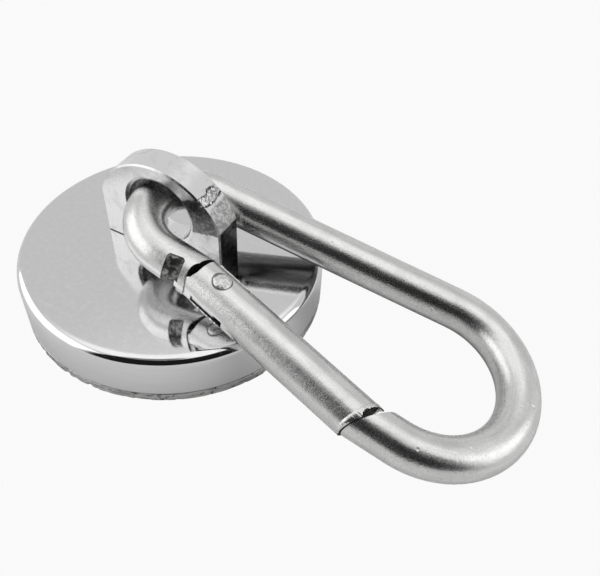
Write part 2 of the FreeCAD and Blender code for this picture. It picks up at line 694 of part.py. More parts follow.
bind_constraint(heel_round, Sketcher.Constraint("DistanceX", -1, 1, back, 1, -round_out),
                "BackX", "-2 * Sizes.gate_radius")
bind_constraint(heel_round, Sketcher.Constraint("DistanceY", -1, 1, back, 1, round_out),
                "TopY", "2 * Sizes.gate_radius")
cut_through(gate, heel_round, "heel_round")

slot_outline = new_sketch(gate, "slot_outline", "XZ_Plane")
slot_low = "Sizes.slot_level - Sizes.slot_width / 2"
slot_high = "Sizes.slot_level + Sizes.slot_width / 2"
slot_open = "-2 * Sizes.gate_heel"
add_outline(
    slot_outline,
    [(-8.0, -1.3), (4.5, -1.3), (4.5, 0.3), (-8.0, 0.3)],
    [
        (slot_open, slot_low),
        ("Sizes.slot_reach", slot_low),
        ("Sizes.slot_reach", slot_high),
        (slot_open, slot_high),
    ],
)
cut_through(gate, slot_outline, "fork_slot")
gate_rivet_hole = new_sketch(gate, "gate_rivet_hole_circle", "XY_Plane")
add_circle(gate_rivet_hole, 0.0, 0.0, 1.5, radius_cell="Sizes.rivet_radius")
cut_through(gate, gate_rivet_hole, "gate_rivet_hole")
for side, reverse in ((1, False), (-1, True)):
    seat_name = "upper_seat" if side > 0 else "lower_seat"
    seat_level = Placement(Vector(0, 0, side * size["gate_radius"]), Rotation())
    seat = new_sketch(gate, f"{seat_name}_circle", "XY_Plane", seat_level)
    sign = "" if side > 0 else "-"
    bind(seat, "AttachmentOffset.Base.z", f"{sign}Sizes.gate_radius")
    add_circle(seat, 0.0, 0.0, 1.65, radius_cell="Sizes.rivet_head_radius")
    cut_to(gate, seat, seat_name, "Sizes.gate_radius - Sizes.rivet_head_seat", reverse)

# The bore is drilled from the heel, through the fork, before the rivet goes in.
bore_start = new_sketch(
    gate, "bore_circle", "YZ_Plane", Placement(Vector(0, 0, -size["gate_heel"]), Rotation()))
bind(bore_start, "AttachmentOffset.Base.z", "-Sizes.gate_heel")
add_circle(bore_start, 0.0, 0.0, 1.6, radius_cell="Sizes.bore_radius")
cut_to(gate, bore_start, "spring_bore", "Sizes.gate_heel + Sizes.bore_end", True)
gate.Placement = gate_place

# ---------------------------------------------------------------- rivet, plunger and spring
# The rivet is peened over in shallow seats on both sides of the fork.
gate_rivet = new_body("gate_rivet")
rivet_half = new_sketch(gate_rivet, "rivet_half_section", "XZ_Plane")
crown_level = "Sizes.rivet_head_top - Sizes.rivet_crown_drop"
rim_level = "Sizes.rivet_head_top - Sizes.rivet_rim_drop"
add_outline(
    rivet_half,
    [(0.0, -4.4), (1.15, -4.3), (1.65, -4.0), (1.65, -3.6), (1.5, -3.6),
     (1.5, 3.6), (1.65, 3.6), (1.65, 4.0), (1.15, 4.3), (0.0, 4.4)],
    [
        ("0", "-Sizes.rivet_head_top"),
        ("Sizes.rivet_crown_radius", f"-({crown_level})"),
        ("Sizes.rivet_head_radius", f"-({rim_level})"),
        ("Sizes.rivet_head_radius", "-Sizes.rivet_head_seat"),
        ("Sizes.rivet_radius", "-Sizes.rivet_head_seat"),
        ("Sizes.rivet_radius", "Sizes.rivet_head_seat"),
        ("Sizes.rivet_head_radius", "Sizes.rivet_head_seat"),
        ("Sizes.rivet_head_radius", rim_level),
        ("Sizes.rivet_crown_radius", crown_level),
        ("0", "Sizes.rivet_head_top"),
    ],
)
revolve(gate_rivet, rivet_half, "rivet_turned", "V_Axis")
gate_rivet.Placement = gate_place

gate_plunger = new_body("gate_plunger")
plunger_half = new_sketch(gate_plunger, "plunger_half_section", "XY_Plane")
add_outline(
    plunger_half,
    [(3.0, 0.0), (8.0, 0.0), (8.0, 1.5), (3.2, 1.5), (3.0, 1.3)],
    [
        ("Sizes.plunger_tip", "0"),
        ("Sizes.plunger_tip + Sizes.plunger_length", "0"),
        ("Sizes.plunger_tip + Sizes.plunger_length", "Sizes.plunger_radius"),
        ("Sizes.plunger_tip + Sizes.plunger_chamfer", "Sizes.plunger_radius"),
        ("Sizes.plunger_tip", "Sizes.plunger_radius - Sizes.plunger_chamfer"),
    ],
)
revolve(gate_plunger, plunger_half, "plunger_turned", "H_Axis")
gate_plunger.Placement = gate_place

gate_spring = new_body("gate_spring")
spring_section = new_sketch(gate_spring, "spring_wire_section", "XY_Plane")
spring_end_room = "Sizes.spring_wire_radius - Sizes.spring_end_gap"
spring_start = ("Sizes.plunger_tip + Sizes.plunger_length"
                " + Sizes.spring_wire_radius + Sizes.spring_end_gap")
add_circle(spring_section, 8.28, 1.15, 0.25, x_cell=spring_start, y_cell="Sizes.spring_radius",
           radius_cell="Sizes.spring_wire_radius")
coil = gate_spring.newObject("PartDesign::AdditiveHelix", "coil")
coil.Profile = spring_section
coil.ReferenceAxis = (spring_section, ["H_Axis"])
coil.Mode = "height-turns-angle"
bind(coil, "Height", f"Sizes.bore_end - {spring_end_room} - ({spring_start})")
bind(coil, "Turns", "Sizes.spring_turns")
coil.Angle = 0.0
doc.recompute()
gate_spring.Placement = gate_place

# ---------------------------------------------------------------- checks and files
doc.recompute()
for thing in doc.Objects:
    if "Invalid" in thing.State or "Error" in thing.State:
        raise RuntimeError(f"{thing.Name} failed: {thing.State}")
for body in PARTS:
    shape = body.Shape
    if shape.isNull() or not shape.isValid() or len(shape.Solids) != 1:
        raise RuntimeError(f"{body.Label} is not one valid solid")
    box = shape.BoundBox
    print(f"{body.Label:14s} volume {shape.Volume:9.2f}  x {box.XMin:7.2f} {box.XMax:7.2f}"
          f"  y {box.YMin:7.2f} {box.YMax:7.2f}  z {box.ZMin:7.2f} {box.ZMax:7.2f}")
    shape.exportStep(f"parts/{body.Label}.step")
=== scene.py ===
import bmesh, bpy, json, math
import numpy as np
from mathutils import Matrix, Quaternion, Vector, noise


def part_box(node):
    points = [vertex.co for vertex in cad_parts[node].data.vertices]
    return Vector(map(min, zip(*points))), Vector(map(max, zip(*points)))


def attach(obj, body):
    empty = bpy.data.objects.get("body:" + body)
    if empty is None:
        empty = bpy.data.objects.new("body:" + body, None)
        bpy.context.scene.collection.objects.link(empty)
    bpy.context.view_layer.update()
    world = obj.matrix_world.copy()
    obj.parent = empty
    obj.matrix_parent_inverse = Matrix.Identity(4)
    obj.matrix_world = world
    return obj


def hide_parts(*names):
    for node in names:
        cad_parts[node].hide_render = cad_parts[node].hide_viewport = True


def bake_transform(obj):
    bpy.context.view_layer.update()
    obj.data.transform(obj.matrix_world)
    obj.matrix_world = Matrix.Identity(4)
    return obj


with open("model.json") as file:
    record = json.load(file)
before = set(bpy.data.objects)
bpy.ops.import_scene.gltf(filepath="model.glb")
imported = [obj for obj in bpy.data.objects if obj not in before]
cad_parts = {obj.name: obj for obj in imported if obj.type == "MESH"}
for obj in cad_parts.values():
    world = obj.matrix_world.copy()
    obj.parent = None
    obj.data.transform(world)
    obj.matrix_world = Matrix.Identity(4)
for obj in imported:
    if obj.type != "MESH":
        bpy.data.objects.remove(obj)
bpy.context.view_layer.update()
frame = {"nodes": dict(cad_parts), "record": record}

scene = bpy.context.scene
scene.view_settings.view_transform = "Standard"
nodes = frame["nodes"]
MM = 0.001


# ---------------------------------------------------------------- frames of the moving pieces
# The gate's frame is at the rivet: x runs to the gate's free end, y into the hook's opening
# and z is square to the hook. The hook's frame is at the wide bend's centre.
joints = {joint["name"]: joint for joint in frame["record"]["behaviour"]["joints"]}
PIVOT = Vector(joints["gate_open"]["pos_m"])
GATE_Z = Vector(joints["gate_open"]["axis"]).normalized()
GATE_X = Vector(joints["plunger_slide"]["axis"]).normalized()
GATE_Y = GATE_Z.cross(GATE_X)
GATE_ANGLE = math.radians(11.2)
PIVOT_IN_HOOK = Vector((-38.5, -10.3, 0.0)) * MM
WIDE_BEND = 16.1
NARROW_BEND = 9.2
BEND_SPACING = 50.5


def frame_matrix(origin, x, y, z):
    matrix = Matrix((x, y, z)).transposed().to_4x4()
    matrix.translation = origin
    return matrix


gate_frame = frame_matrix(PIVOT, GATE_X, GATE_Y, GATE_Z)
hook_turn = gate_frame @ Matrix.Rotation(GATE_ANGLE, 4, "Z")
hook_frame = hook_turn @ Matrix.Translation(-PIVOT_IN_HOOK)


# ---------------------------------------------------------------- camera
CAMERA_AT = Vector((70.17, -83.62, 111.02)) * MM
CAMERA_AIM = Vector((-0.3077, 0.6203, -0.722))
CAMERA_ROLL = math.radians(3.23)
SENSOR_WIDTH = 36.0
LENS = 43.99

camera_data = bpy.data.cameras.new("camera")
camera_data.sensor_width = SENSOR_WIDTH
camera_data.lens = LENS
camera_data.clip_start = 0.005
camera_data.clip_end = 20.0
camera = bpy.data.objects.new("camera", camera_data)
scene.collection.objects.link(camera)
roll = Quaternion((0.0, 0.0, 1.0), CAMERA_ROLL)
camera_turn = CAMERA_AIM.to_track_quat("-Z", "Y") @ roll
camera.matrix_world = Matrix.Translation(CAMERA_AT) @ camera_turn.to_matrix().to_4x4()
scene.camera = camera


# ---------------------------------------------------------------- sizes in millimetres
POT_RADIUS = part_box("pot_cup")[1].x / MM
POT_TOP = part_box("pot_cup")[1].z / MM
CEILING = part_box("magnet_ring")[1].z / MM
INNER_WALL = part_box("rim_resin")[1].x / MM
STUD_RADIUS = 4.0

# The worn band at the foot of the pot's wall ends at a turned groove, which is painted dark as
# shade.
WORN_TOP = 1.95
FOOT_EDGE = (2.15, 2.0)
GROOVE_LOW = (1.96, 2.03)
GROOVE_HIGH = (2.24, 2.16)
FOOT_SHADE = (0.42, 0.25)

# The lug: its eye, the painted contact shadow at its foot and the burnt streak in its plating.
EYE_LEVEL = 21.4
EYE_EDGE = (6.98, 6.9)
LUG_FOOT = (11.66, 11.5)
BURNT_SPOT = (10.0, -0.4, 27.2)
BURNT_SHAPE = (1.45, 0.62, 1.45)


# ---------------------------------------------------------------- building materials
class NodeTree:
    """Short names for the shader nodes that the materials and the room are made of."""

    def __init__(self, tree):
        self.tree = tree

    def add(self, kind, **settings):
        node = self.tree.nodes.new(kind)
        for key, value in settings.items():
            setattr(node, key, value)
        return node

    def link(self, value, socket):
        """Joins an output to an input, or sets the input to a plain value."""
        if isinstance(value, bpy.types.NodeSocket):
            self.tree.links.new(value, socket)
        else:
            socket.default_value = value

    def math(self, operation, first, second=0.0, third=0.0):
        node = self.add("ShaderNodeMath", operation=operation)
        for socket, value in zip(node.inputs, (first, second, third)):
            self.link(value, socket)
        return node.outputs[0]

    def length(self, x, y):
        """The length of the vector (x, y)."""
        across, up = self.math("MULTIPLY", x, x), self.math("MULTIPLY", y, y)
        return self.math("SQRT", self.math("ADD", across, up))

    def dot(self, vector, direction):
        node = self.add("ShaderNodeVectorMath", operation="DOT_PRODUCT")
        self.link(vector, node.inputs[0])
        node.inputs[1].default_value = direction
        return node.outputs["Value"]

    def distance(self, vector, point):
        node = self.add("ShaderNodeVectorMath", operation="DISTANCE")
        self.link(vector, node.inputs[0])
        node.inputs[1].default_value = point
        return node.outputs["Value"]

    def normal(self):
        return self.add("ShaderNodeTexCoord").outputs["Normal"]

    def millimetres(self, place=None):
        """Object coordinates in millimetres, in the row frame or in the frame of a matrix."""
        coordinates = self.add("ShaderNodeTexCoord").outputs["Object"]
        if place is not None:
            mapping = self.add("ShaderNodeMapping", vector_type="TEXTURE")
            mapping.inputs["Location"].default_value = place.to_translation()
            mapping.inputs["Rotation"].default_value = place.to_euler()
            self.link(coordinates, mapping.inputs["Vector"])
            coordinates = mapping.outputs[0]
        return self.stretch(coordinates, (1000.0, 1000.0, 1000.0))

    def attribute(self, name):
        return self.add("ShaderNodeAttribute", attribute_name=name).outputs["Vector"]

    def stretch(self, vector, factors):
        node = self.add("ShaderNodeVectorMath", operation="MULTIPLY")
        self.link(vector, node.inputs[0])
        node.inputs[1].default_value = factors
        return node.outputs[0]

    def split(self, vector):
        node = self.add("ShaderNodeSeparateXYZ")
        self.link(vector, node.inputs[0])
        return node.outputs

    def join(self, x, y, z):
        node = self.add("ShaderNodeCombineXYZ")
        for socket, value in zip(node.inputs, (x, y, z)):
            self.link(value, socket)
        return node.outputs[0]

    def noise(self, vector, scale, detail=3.0, roughness=0.5, distortion=0.0):
        node = self.add("ShaderNodeTexNoise")
        self.link(vector, node.inputs["Vector"])
        node.inputs["Scale"].default_value = scale
        node.inputs["Detail"].default_value = detail
        node.inputs["Roughness"].default_value = roughness
        node.inputs["Distortion"].default_value = distortion
        return node.outputs[0]

    def cells(self, vector, scale, feature="F1", randomness=1.0):
        node = self.add("ShaderNodeTexVoronoi", feature=feature)
        self.link(vector, node.inputs["Vector"])
        node.inputs["Scale"].default_value = scale
        node.inputs["Randomness"].default_value = randomness
        return node.outputs["Distance"]

    def ramp(self, value, low, high, start=0.0, end=1.0):
        """start below low, end above high, and a smooth step between them."""
        node = self.add("ShaderNodeMapRange", interpolation_type="SMOOTHSTEP")
        for socket, setting in zip(node.inputs, (value, low, high, start, end)):
            self.link(setting, socket)
        return node.outputs[0]

    def blend(self, factor, first, second):
        node = self.add("ShaderNodeMix", data_type="RGBA")
        self.link(factor, node.inputs["Factor"])
        for socket, value in zip(node.inputs[6:8], (first, second)):
            self.link((*value, 1.0) if isinstance(value, tuple) else value, socket)
        return node.outputs[2]


class Paint(NodeTree):
    """A metal or resin made of nodes. Its texture coordinates are in millimetres."""

    def __init__(self, name, metallic=1.0):
        self.material = bpy.data.materials.new(name)
        self.material.use_nodes = True
        super().__init__(self.material.node_tree)
        self.bsdf = self.tree.nodes["Principled BSDF"]
        self.bsdf.inputs["Metallic"].default_value = metallic
        self.height = None

    def raise_by(self, height, millimetres):
        """Adds a bump of this many millimetres for a height of one."""
        lift = self.math("MULTIPLY", height, millimetres)
        self.height = lift if self.height is None else self.math("ADD", self.height, lift)

    def finish(self, color, roughness):
        color = (*color, 1.0) if isinstance(color, tuple) else color
        self.link(color, self.bsdf.inputs["Base Color"])
        self.link(roughness, self.bsdf.inputs["Roughness"])
        if self.height is not None:
            bump = self.add("ShaderNodeBump")
            bump.inputs["Strength"].default_value = 1.0
            bump.inputs["Distance"].default_value = MM
            self.link(self.height, bump.inputs["Height"])
            self.link(bump.outputs[0], self.bsdf.inputs["Normal"])
        return self.material


def round_coordinates(paint, vector):
    """For a turned piece: the distance from the Z axis, the direction from it, and the height."""
    x, y, z = paint.split(vector)
    radius = paint.length(x, y)
    return radius, paint.math("DIVIDE", x, radius), paint.math("DIVIDE", y, radius), z


def pot_plating():
    """Bright plating: a mirror top with faint polishing marks, a satin wall and a rough foot.

    The underside is ground steel.
    """
    paint = Paint("pot_plating")
    place = paint.millimetres()
    radius, turn_x, turn_y, z = round_coordinates(paint, place)
    top = paint.ramp(z, 9.5, 9.8)
    foot = paint.ramp(z, *FOOT_EDGE)
    smudge = paint.noise(place, 0.11, 4.0, 0.6)
    haze = paint.noise(place, 0.9, 5.0, 0.65)

    def wrapped(along, share, *settings):
        third = paint.math("MULTIPLY", along, share)
        return paint.noise(paint.join(turn_x, turn_y, third), *settings)

    polish = wrapped(radius, 4.0, 2.4, 3.0, 0.6)
    turning = wrapped(z, 6.0, 1.6, 4.0, 0.7)
    nicks = wrapped(z, 0.05, 26.0, 5.0, 0.75)
    lines = wrapped(z, 1.4, 5.0, 4.0, 0.65)
    grime = paint.ramp(paint.noise(place, 1.6, 5.0, 0.7), 0.42, 0.62)
    scratch = paint.cells(paint.stretch(place, (0.5, 3.0, 1.0)), 0.35, feature="DISTANCE_TO_EDGE")
    scratch = paint.ramp(scratch, 0.012, 0.0)
    scratched = paint.math("MULTIPLY", scratch, paint.ramp(haze, 0.5, 0.62))

    wall_rough = paint.math("MULTIPLY_ADD", turning, 0.16, 0.14)
    top_rough = paint.math("MULTIPLY_ADD", paint.ramp(smudge, 0.35, 0.7), 0.035, 0.055)
    top_rough = paint.math("MULTIPLY_ADD", scratched, 0.12, top_rough)
    step = paint.math("SUBTRACT", top_rough, wall_rough)
    roughness = paint.math("MULTIPLY_ADD", top, step, wall_rough)
    foot_rough = paint.math("MULTIPLY_ADD", nicks, 0.35, 0.2)
    step = paint.math("SUBTRACT", foot_rough, roughness)
    roughness = paint.math("MULTIPLY_ADD", foot, step, roughness)

    color = paint.blend(paint.ramp(haze, 0.3, 0.75), (0.75, 0.75, 0.755), (0.78, 0.78, 0.785))
    wall = paint.blend(paint.ramp(turning, 0.3, 0.7), (0.74, 0.74, 0.745), (0.83, 0.83, 0.835))
    color = paint.blend(top, wall, color)
    bright = paint.ramp(lines, 0.39, 0.47)
    worn = paint.blend(bright, (0.12, 0.118, 0.115), (0.72, 0.717, 0.71))
    worn = paint.blend(paint.ramp(nicks, 0.45, 0.38), worn, (0.05, 0.048, 0.046))
    worn = paint.blend(paint.math("MULTIPLY", grime, 0.25), worn, (0.4, 0.395, 0.385))
    color = paint.blend(foot, color, worn)
    # Painted shade: the turned groove is painted almost black.
    groove = paint.math("MULTIPLY", paint.ramp(z, *GROOVE_LOW), paint.ramp(z, *GROOVE_HIGH))
    color = paint.blend(groove, color, (0.04, 0.038, 0.036))
    color = paint.blend(paint.ramp(z, *FOOT_SHADE), color, (0.06, 0.058, 0.055))
    ground = paint.blend(paint.ramp(polish, 0.35, 0.65), (0.5, 0.5, 0.5), (0.64, 0.64, 0.642))
    beneath = paint.ramp(radius, POT_RADIUS - 0.32, POT_RADIUS - 0.42)
    color = paint.blend(beneath, color, paint.blend(top, ground, color))

    not_foot = paint.math("SUBTRACT", 1.0, foot)
    paint.raise_by(paint.math("MULTIPLY", polish, top), 0.0015)
    paint.raise_by(paint.math("MULTIPLY", turning, not_foot), 0.004)
    paint.raise_by(paint.math("MULTIPLY", nicks, foot), 0.06)
    paint.raise_by(paint.math("MULTIPLY", lines, foot), 0.05)
    paint.raise_by(smudge, 0.01)
    paint.raise_by(scratched, -0.004)
    return paint.finish(color, roughness)


def lug_plating():
    """Plating over a cast lug: polished outside, duller on its faces, scaly in the eye, with
    painted shade and a painted dark reflection on it.
    """
    paint = Paint("lug_plating")
    place = paint.millimetres()
    x, _, z = paint.split(place)
    facing = paint.split(paint.normal())
    pools = paint.noise(place, 0.16, 2.0, 0.4, 0.3)
    ripple = paint.noise(place, 0.55, 3.0, 0.5, 0.6)
    grain = paint.noise(place, 4.0, 3.0, 0.6)
    scale = paint.noise(place, 1.3, 5.0, 0.7, 0.7)
    dull = paint.ramp(paint.noise(place, 0.33, 4.0, 0.6, 0.6), 0.5, 0.66)
    pits = paint.ramp(paint.cells(place, 0.7), 0.1, 0.04)
    roughness = paint.math("MULTIPLY_ADD", dull, 0.13, 0.06)
    roughness = paint.math("MULTIPLY_ADD", grain, 0.1, roughness)
    color = paint.blend(dull, (0.86, 0.86, 0.865), (0.77, 0.77, 0.77))
    color = paint.blend(pits, color, (0.3, 0.29, 0.28))

    # The two flat faces were left as they were blanked.
    face = paint.ramp(paint.math("ABSOLUTE", facing[1]), 0.5, 0.66)
    blanked = paint.blend(paint.ramp(pools, 0.4, 0.6), (0.6, 0.6, 0.6), (0.7, 0.7, 0.702))
    color = paint.blend(face, color, blanked)
    roughness = paint.math("MULTIPLY_ADD", face, 0.14, roughness)

    # A painted dark reflection beside the eye, on the front face.
    low_edge = paint.math("MULTIPLY_ADD", x, -0.2, paint.math("MULTIPLY_ADD", scale, 1.6, z))
    low_edge = paint.ramp(paint.math("MULTIPLY_ADD", grain, 0.9, low_edge), 19.7, 19.82)
    high_edge = paint.math("MULTIPLY_ADD", x, -0.55, paint.math("MULTIPLY_ADD", ripple, 1.0, z))
    high_edge = paint.ramp(high_edge, 24.1, 23.5)
    dark_reflection_mask = paint.math("MULTIPLY", low_edge, high_edge)
    dark_reflection_mask = paint.math("MULTIPLY", dark_reflection_mask, paint.ramp(facing[1], -0.9, -0.97))
    dark_reflection_mask = paint.math("MULTIPLY", dark_reflection_mask, paint.ramp(x, 3.5, 4.5))
    painted_dark_reflection = paint.blend(paint.ramp(scale, 0.42, 0.68), (0.1, 0.1, 0.098), (0.27, 0.27, 0.265))
    color = paint.blend(dark_reflection_mask, color, painted_dark_reflection)

    # Painted shade: the lower part of the right flank is darker and mottled.
    low = paint.ramp(paint.math("MULTIPLY_ADD", ripple, 2.0, z), 27.4, 26.8)
    flank = paint.math("MULTIPLY", low, paint.ramp(facing[0], 0.55, 0.7))
    mottled_shade = paint.blend(paint.ramp(scale, 0.4, 0.62), (0.3, 0.3, 0.297), (0.62, 0.62, 0.617))
    color = paint.blend(flank, color, mottled_shade)
    roughness = paint.math("MULTIPLY_ADD", flank, 0.12, roughness)

    # Painted shade: the flat below it is almost black.
    flat = paint.ramp(facing[0], 0.97, 0.99)
    flat_shade = paint.blend(paint.ramp(scale, 0.45, 0.7), (0.05, 0.05, 0.049), (0.2, 0.2, 0.197))
    color = paint.blend(flat, color, flat_shade)
    roughness = paint.math("MULTIPLY_ADD", flat, -0.08, roughness)

    # Scale inside the eye, darkened further as painted shade, worn away at the bottom.
    rise = paint.math("SUBTRACT", z, EYE_LEVEL)
    in_eye = paint.ramp(paint.length(x, rise), *EYE_EDGE)
    kept = paint.ramp(paint.math("MULTIPLY_ADD", scale, 2.4, z), 17.5, 18.0)
    scale_shade_mask = paint.math("MULTIPLY", in_eye, kept)
    patchy = paint.ramp(scale, 0.42, 0.66)
    shaded_scale = paint.blend(patchy, (0.05, 0.049, 0.048), (0.25, 0.249, 0.245))
    color = paint.blend(scale_shade_mask, color, shaded_scale)
    roughness = paint.math("MULTIPLY_ADD", scale_shade_mask, 0.16, roughness)

    # A painted contact shadow: a dark line where the lug stands on the pot.
    foot_shadow = paint.ramp(paint.math("MULTIPLY_ADD", grain, 0.3, z), *LUG_FOOT)
    color = paint.blend(foot_shadow, color, (0.03, 0.03, 0.03))

    # A burnt streak with dark curls in it.
    centre = [middle * share for middle, share in zip(BURNT_SPOT, BURNT_SHAPE)]
    edge = paint.distance(paint.stretch(place, BURNT_SHAPE), centre)
    edge = paint.math("MULTIPLY_ADD", ripple, 3.4, edge)
    edge = paint.math("MULTIPLY_ADD", scale, 1.6, edge)
    edge = paint.math("SUBTRACT", edge, 1.1)
    inside = paint.ramp(edge, 3.4, 3.0)
    curl = paint.noise(place, 0.95, 2.0, 0.6, 1.6)
    curls = paint.ramp(paint.math("ABSOLUTE", paint.math("SUBTRACT", curl, 0.5)), 0.04, 0.015)
    crumbs = paint.ramp(paint.noise(place, 2.6, 3.0, 0.7), 0.54, 0.6)
    rim = paint.math("MULTIPLY", paint.ramp(edge, 3.5, 3.35), paint.ramp(edge, 2.95, 3.1))
    rim = paint.math("MULTIPLY", rim, paint.ramp(scale, 0.44, 0.52))
    black = paint.math("MAXIMUM", rim, paint.math("MULTIPLY", inside, curls))
    crumbs = paint.math("MULTIPLY", inside, crumbs)
    color = paint.blend(crumbs, color, (0.3, 0.295, 0.285))
    color = paint.blend(black, color, (0.03, 0.029, 0.028))
    roughness = paint.math("MULTIPLY_ADD", inside, 0.2, roughness)

    paint.raise_by(pools, 0.16)
    paint.raise_by(ripple, 0.025)
    paint.raise_by(grain, 0.004)
    paint.raise_by(pits, -0.02)
    rough_parts = paint.math("MAXIMUM", flank, scale_shade_mask)
    paint.raise_by(paint.math("MULTIPLY", scale, rough_parts), 0.05)
    paint.raise_by(paint.math("MULTIPLY", inside, curl), 0.3)
    return paint.finish(color, roughness)


def drawn_steel(name, straight_frame=None):
    """Satin plating on drawn wire: a fine grain and small dings over faint lengthwise streaks."""
    paint = Paint(name)
    run = paint.attribute("run") if straight_frame is None else paint.millimetres(straight_frame)
    streak = paint.noise(paint.stretch(run, (0.13, 1.1, 1.1)), 1.0, 4.0, 0.6, 0.3)
    fine = paint.noise(paint.stretch(run, (0.6, 6.0, 6.0)), 1.0, 3.0, 0.6)
    blotch = paint.noise(run, 0.3, 5.0, 0.65, 0.4)
    speckle = paint.noise(run, 3.2, 4.0, 0.75)
    grain = paint.noise(run, 8.0, 2.0, 0.6)
    dings = paint.ramp(paint.cells(run, 0.3), 0.12, 0.04)
    roughness = paint.math("MULTIPLY_ADD", streak, 0.1, 0.13)
    roughness = paint.math("MULTIPLY_ADD", speckle, 0.16, roughness)
    color = paint.blend(paint.ramp(streak, 0.3, 0.7), (0.68, 0.678, 0.672), (0.8, 0.798, 0.792))
    color = paint.blend(paint.ramp(blotch, 0.45, 0.7, 0.0, 0.35), color, (0.56, 0.556, 0.55))
    color = paint.blend(paint.ramp(speckle, 0.54, 0.66, 0.0, 0.6), color, (0.5, 0.497, 0.49))
    color = paint.blend(paint.ramp(grain, 0.6, 0.75, 0.0, 0.5), color, (0.9, 0.9, 0.89))
    if straight_frame is not None:
        # Painted shade: a dark ring round the rivet's head.
        s, n = paint.split(run)[:2]
        reach = paint.length(s, n)
        rivet_ring_shade = paint.math("MULTIPLY", paint.ramp(reach, 1.58, 1.65), paint.ramp(reach, 1.95, 1.75))
        color = paint.blend(rivet_ring_shade, color, (0.12, 0.118, 0.114))
    # The underside of the back bar is dull, and painted dark as shade.
    upwards = paint.dot(paint.normal(), GATE_Z)
    underside_shade = paint.ramp(paint.math("MULTIPLY_ADD", blotch, 0.3, upwards), 0.05, -0.4)
    behind = paint.ramp(paint.split(paint.millimetres())[1], 0.0, 5.0)
    behind = paint.math("MULTIPLY", behind, paint.ramp(streak, 0.2, 0.6, 0.55, 0.9))
    underside_shade = paint.math("MULTIPLY", underside_shade, behind)
    color = paint.blend(underside_shade, color, (0.13, 0.128, 0.124))
    roughness = paint.math("MULTIPLY_ADD", underside_shade, 0.08, roughness)
    paint.raise_by(streak, 0.016)
    paint.raise_by(fine, 0.004)
    paint.raise_by(blotch, 0.05)
    paint.raise_by(speckle, 0.022)
    paint.raise_by(grain, 0.004)
    paint.raise_by(dings, -0.04)
    return paint.finish(color, roughness)


def shaded_sheared_steel():
    """Bare, torn steel on a cropped end, with a coarse broken grain, painted dark as shade in the
    narrow gaps.
    """
    paint = Paint("shaded_sheared_steel")
    place = paint.millimetres()
    torn = paint.noise(place, 1.6, 6.0, 0.75, 0.8)
    grain = paint.noise(place, 7.0, 3.0, 0.7)
    color = paint.blend(paint.ramp(torn, 0.45, 0.75), (0.035, 0.034, 0.033), (0.2, 0.198, 0.192))
    paint.raise_by(torn, 0.3)
    paint.raise_by(grain, 0.04)
    return paint.finish(color, paint.math("MULTIPLY_ADD", grain, 0.3, 0.5))


def shaded_press_mark():
    """The floor of the press mark: painted dark as shade in the recess, with pale rubbed patches.
    """
    paint = Paint("shaded_press_mark")
    place = paint.millimetres()
    patch = paint.noise(place, 0.75, 6.0, 0.7, 0.25)
    grain = paint.noise(place, 5.0, 3.0, 0.7)
    color = paint.blend(paint.ramp(patch, 0.44, 0.62), (0.06, 0.059, 0.057), (0.5, 0.497, 0.49))
    paint.raise_by(patch, 0.12)
    paint.raise_by(grain, 0.015)
    return paint.finish(color, paint.math("MULTIPLY_ADD", grain, 0.25, 0.25))


def rivet_steel():
    """A peened head: overlapping hammer dents, bright on their ridges."""
    paint = Paint("rivet_steel")
    place = paint.millimetres(gate_frame)
    dents = paint.cells(place, 1.5, randomness=0.9)
    grain = paint.noise(place, 6.0, 3.0, 0.7)
    color = paint.blend(paint.ramp(dents, 0.2, 0.7), (0.6, 0.598, 0.59), (0.78, 0.778, 0.77))
    paint.raise_by(paint.math("MULTIPLY", dents, dents), 0.12)
    paint.raise_by(grain, 0.015)
    return paint.finish(color, paint.math("MULTIPLY_ADD", grain, 0.2, 0.22))


def magnet_nickel():
    """The magnet's ground face under nickel, with the dark specks where it has chipped."""
    paint = Paint("magnet_nickel")
    place = paint.millimetres()
    radius, turn_x, turn_y, _ = round_coordinates(paint, place)
    rings = paint.join(turn_x, turn_y, paint.math("MULTIPLY", radius, 5.0))
    ground = paint.noise(rings, 3.0, 4.0, 0.7)
    cloud = paint.noise(place, 0.2, 4.0, 0.6)
    speck = paint.ramp(paint.noise(place, 2.2, 3.0, 0.6), 0.66, 0.72)
    color = paint.blend(paint.ramp(cloud, 0.3, 0.7), (0.48, 0.48, 0.49), (0.63, 0.63, 0.64))
    color = paint.blend(speck, color, (0.2, 0.19, 0.18))
    paint.raise_by(ground, 0.01)
    paint.raise_by(speck, -0.03)
    return paint.finish(color, paint.math("MULTIPLY_ADD", ground, 0.2, 0.2))


def potting_resin():
    """Black potting resin with a slow ripple, dust and tiny burst bubbles."""
    paint = Paint("potting_resin", metallic=0.0)
    place = paint.millimetres()
    ripple = paint.noise(place, 0.35, 3.0, 0.5)
    dust = paint.noise(place, 3.0, 4.0, 0.7)
    bubbles = paint.ramp(paint.cells(place, 0.8), 0.14, 0.06)
    color = paint.blend(paint.ramp(dust, 0.45, 0.7), (0.02, 0.02, 0.022), (0.1, 0.1, 0.1))
    paint.raise_by(ripple, 0.12)
    paint.raise_by(bubbles, -0.12)
    return paint.finish(color, paint.math("MULTIPLY_ADD", dust, 0.3, 0.22))


# ---------------------------------------------------------------- building pieces
def new_piece(name, mesh, body, slot, material, *replaced):
    piece = bpy.data.objects.new(name, mesh)
    scene.collection.objects.link(piece)
    mesh.materials.clear()
    mesh.materials.append(material)
    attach(piece, body)
    if replaced:
        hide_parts(*replaced)


def dress(node, material):
    """Gives a kept CAD node its material."""
    for material_slot in nodes[node].material_slots:
        material_slot.material = material


